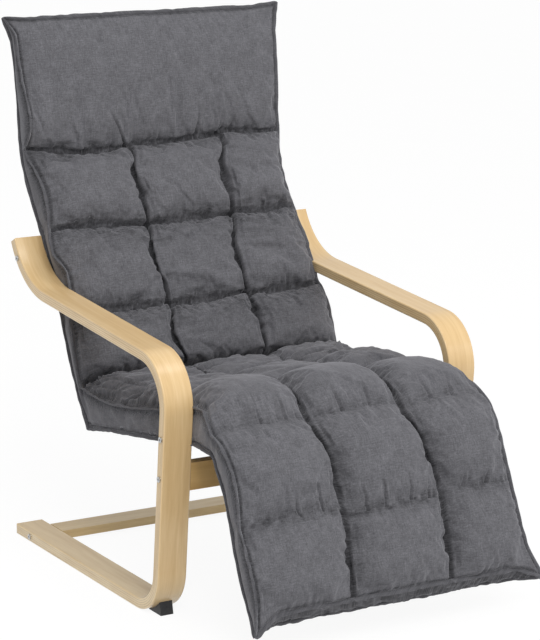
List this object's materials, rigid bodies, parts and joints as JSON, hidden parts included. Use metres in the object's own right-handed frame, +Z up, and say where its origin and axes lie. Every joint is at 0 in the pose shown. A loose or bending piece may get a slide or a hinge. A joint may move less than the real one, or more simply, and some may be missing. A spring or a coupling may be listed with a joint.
{
  "type": "reflexology chair",
  "caption": "Reclined relaxing chair: bent laminated wood side frames, one long quilted grey cushion with a head section, and a leg rest that swings up about the knee.",
  "frame": {"origin": "middle of the chair's box, on the floor", "axes": "+Z up, the sitter faces -Y, +X to the right of someone who stands in front and looks at the chair"},
  "size_m": [0.675, 0.9914, 1.0177],
  "materials": {
    "laminate": "satin clear lacquer over pale bent laminate",
    "rail_wood": "satin clear lacquer",
    "foot_plastic": "matt black",
    "bolt_steel": "zinc plated",
    "frame_steel": "matt black powder coat",
    "hinge_steel": "zinc plated",
    "washer_plastic": "natural nylon",
    "dowel_wood": "plain",
    "webbing": "woven elastic webbing",
    "panel_fabric": "plain woven grey",
    "cushion_fabric": "grey suede-like fabric",
    "foam": "cut foam in a thin sleeve"
  },
  "bodies": {
    "chair": {"side_frame_left": "laminate", "side_frame_right": "laminate", "front_cross_rail": "rail_wood", "floor_cross_rail": "rail_wood", "back_cross_rail": "rail_wood", "barrel_nuts": "bolt_steel", "rail_dowels": "dowel_wood", "front_rail_bolts": "bolt_steel", "floor_rail_bolts": "bolt_steel", "arm_bolts": "bolt_steel", "seat_bolts": "bolt_steel", "back_rail_bolts": "bolt_steel", "foot_screws": "bolt_steel", "front_foot_left": "foot_plastic", "front_foot_right": "foot_plastic", "seat_side_tube_left": "frame_steel", "seat_side_tube_right": "frame_steel", "seat_rear_tube": "frame_steel", "seat_front_tube": "frame_steel", "back_side_tube_left": "frame_steel", "back_side_tube_right": "frame_steel", "back_lower_tube": "frame_steel", "back_middle_tube": "frame_steel", "back_top_tube": "frame_steel", "corner_plate_left": "frame_steel", "corner_plate_right": "frame_steel", "hinge_fixed_plate_left": "hinge_steel", "hinge_fixed_plate_right": "hinge_steel", "hinge_pin_left": "hinge_steel", "hinge_pin_right": "hinge_steel", "hinge_washer_left": "washer_plastic", "hinge_washer_right": "washer_plastic", "seat_bolt_spacers": "bolt_steel", "seat_bolt_nuts": "bolt_steel", "back_bolt_spacers": "bolt_steel", "back_bolt_nuts": "bolt_steel", "back_straps": "webbing", "seat_straps": "webbing", "back_cushion": "cushion_fabric", "seat_cushion": "cushion_fabric", "knee_roll": "foam", "back_cover": "panel_fabric", "seat_under_cover": "panel_fabric"},
    "leg_rest": {"leg_rest_side_tube_left": "frame_steel", "leg_rest_side_tube_right": "frame_steel", "leg_rest_top_tube": "frame_steel", "leg_rest_end_tube": "frame_steel", "leg_rest_straps": "webbing", "hinge_moving_plate_left": "hinge_steel", "hinge_moving_plate_right": "hinge_steel", "leg_rest_rear_cover": "panel_fabric", "leg_rest_cushion": "cushion_fabric"}
  },
  "joints": [
    {"name": "leg_rest_hinge", "type": "hinge", "parent": "chair", "child": "leg_rest", "pos_m": [0, -0.32349, 0.35729], "axis": [-1, 0, 0], "range_deg": [0, 55]}
  ]
}
